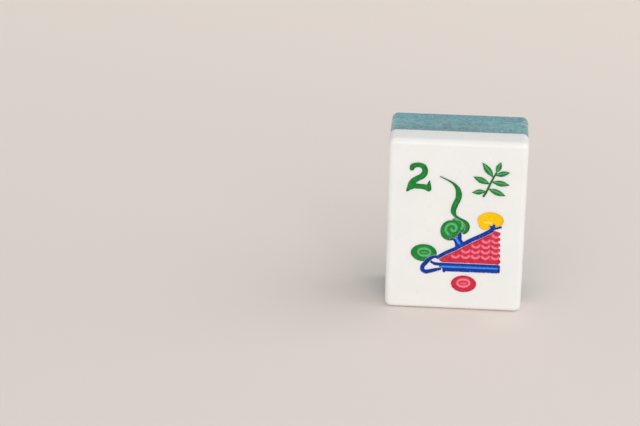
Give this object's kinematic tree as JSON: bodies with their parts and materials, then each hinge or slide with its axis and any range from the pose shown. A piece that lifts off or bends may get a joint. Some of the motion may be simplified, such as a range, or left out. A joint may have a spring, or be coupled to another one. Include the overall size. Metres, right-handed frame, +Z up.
{
  "type": "mahjong tile",
  "caption": "Laminated mahjong tile standing on end: white engraved face with paint-filled numeral and picture, clear core and teal glitter back, rounded edges.",
  "frame": {"origin": "middle of the lower end, on the surface the tile stands on", "axes": "+X across the face to the right as the face is read, +Y from the face to the back, +Z up the face"},
  "size_m": [0.0224, 0.0126, 0.03],
  "materials": {
    "white_face": "polished",
    "cement_film": "clear",
    "clear_resin": "polished, clear",
    "glitter_resin": "polished, glitter filled",
    "green_paint": "enamel paint",
    "blue_paint": "enamel paint",
    "red_paint": "enamel paint",
    "yellow_paint": "enamel paint"
  },
  "bodies": {
    "root": {"face_slab": "white_face", "bond_film": "cement_film", "clear_core": "clear_resin", "glitter_back": "glitter_resin", "numeral_paint": "green_paint", "leaf_spray_paint": "green_paint", "tendril_paint": "green_paint", "coil_paint": "green_paint", "upper_rail_paint": "blue_paint", "lower_rail_paint": "blue_paint", "board_paint": "red_paint", "cap_paint": "yellow_paint", "green_disc_paint": "green_paint", "red_disc_paint": "red_paint"}
  },
  "joints": []
}
